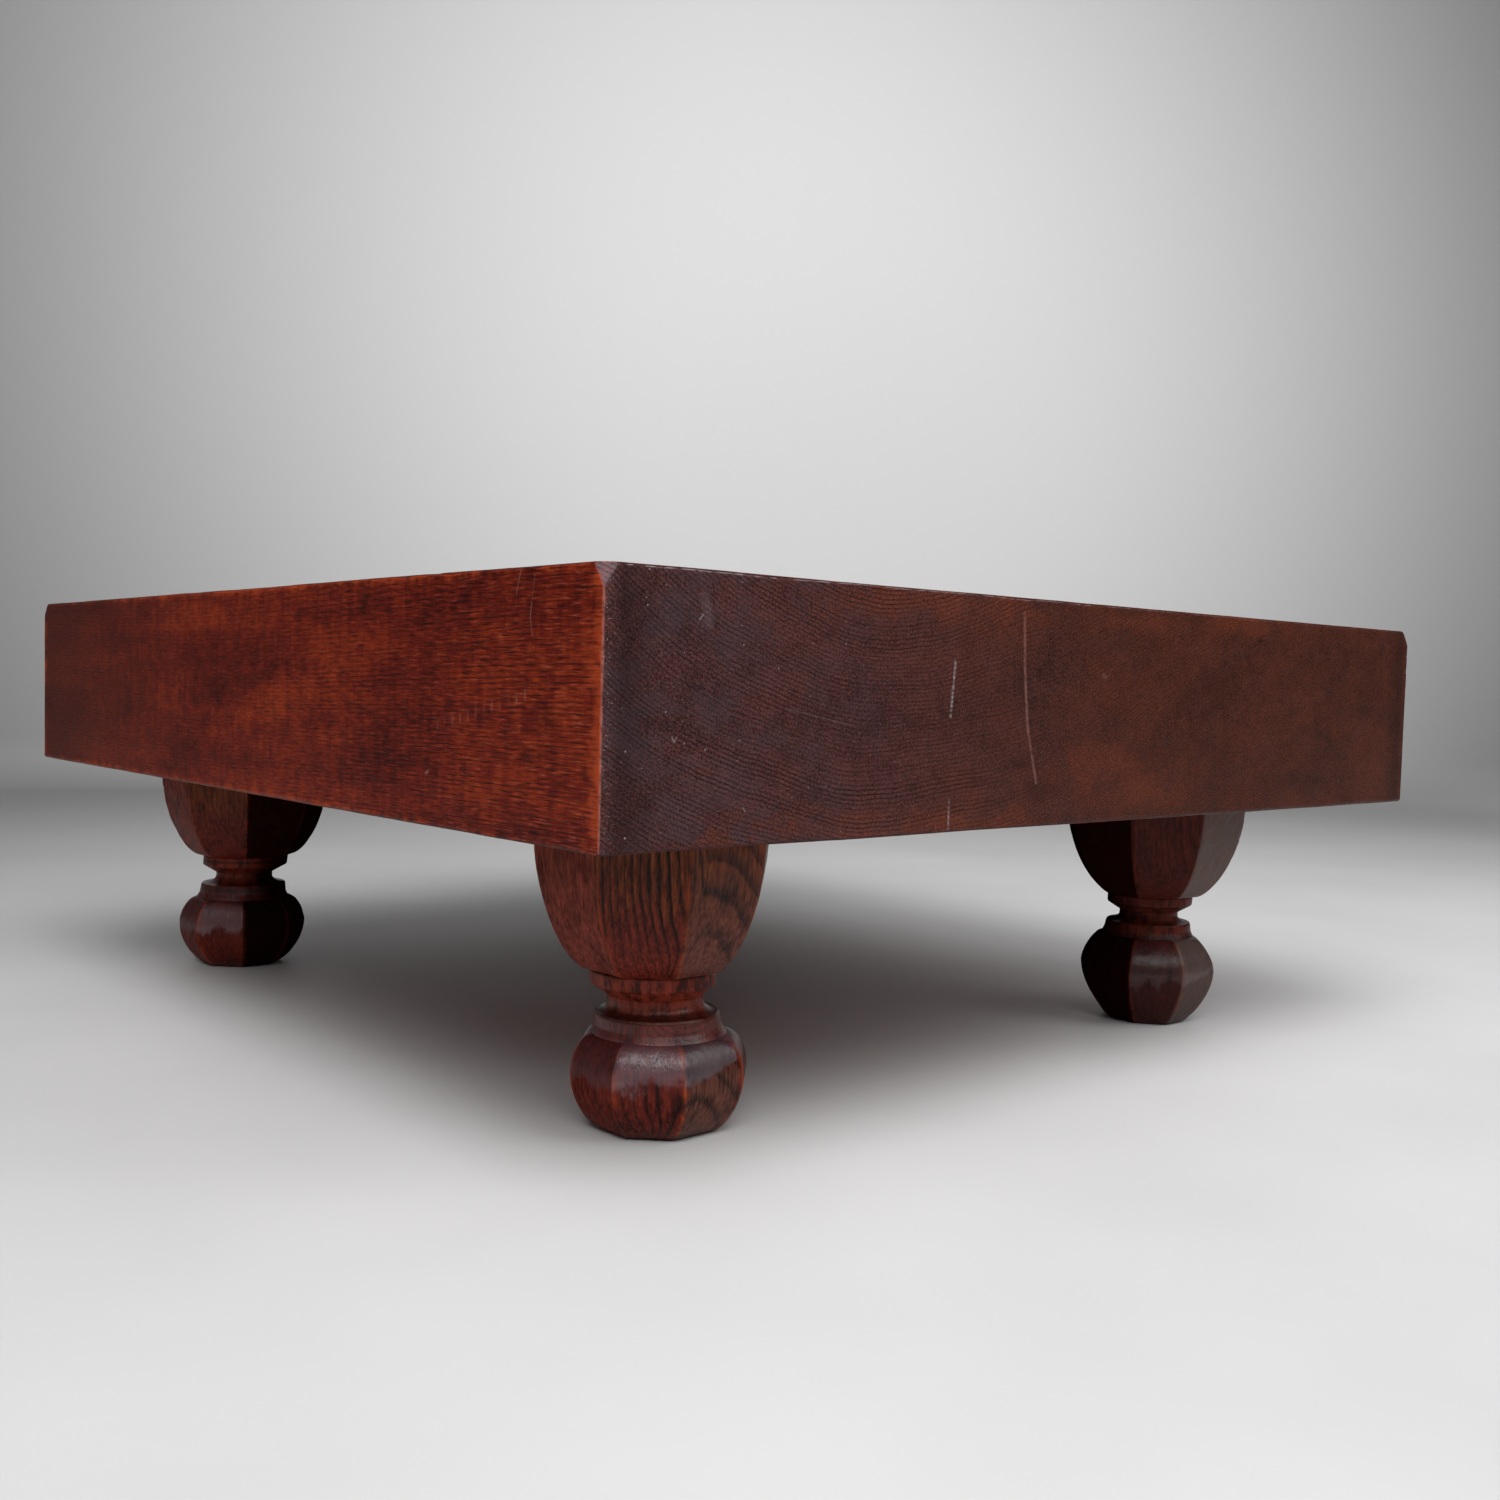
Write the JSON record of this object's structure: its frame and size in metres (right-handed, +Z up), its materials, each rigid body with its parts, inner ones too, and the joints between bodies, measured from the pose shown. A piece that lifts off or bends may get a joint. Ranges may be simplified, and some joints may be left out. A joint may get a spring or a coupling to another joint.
{
  "type": "shogi board",
  "caption": "Low legged shogi board: a thick solid wood block with a lacquered playing grid on top, on carved legs that plug into sockets in its underside.",
  "frame": {"origin": "on the floor, under the middle of the block", "axes": "+Z up, +Y to the back along the block's grain, +X to the right along its end grain"},
  "size_m": [0.333, 0.364, 0.1335],
  "materials": {
    "block_wood": "dark red wiped-lacquer hardwood, satin",
    "leg_wood": "dark red-brown stained hardwood, rubbed to a soft gloss",
    "line_lacquer": "black lacquer, semi-gloss"
  },
  "bodies": {
    "block": {"board": "block_wood", "grid_lines": "line_lacquer", "star_points": "line_lacquer"},
    "front_left": {"front_left_leg": "leg_wood"},
    "front_right": {"front_right_leg": "leg_wood"},
    "back_left": {"back_left_leg": "leg_wood"},
    "back_right": {"back_right_leg": "leg_wood"}
  },
  "joints": [
    {"name": "front_left_leg_pull", "type": "slide", "parent": "block", "child": "front_left", "axis": [0, 0, -1], "range_m": [0, 0.024]},
    {"name": "front_right_leg_pull", "type": "slide", "parent": "block", "child": "front_right", "axis": [0, 0, -1], "range_m": [0, 0.024]},
    {"name": "back_left_leg_pull", "type": "slide", "parent": "block", "child": "back_left", "axis": [0, 0, -1], "range_m": [0, 0.024]},
    {"name": "back_right_leg_pull", "type": "slide", "parent": "block", "child": "back_right", "axis": [0, 0, -1], "range_m": [0, 0.024]}
  ]
}
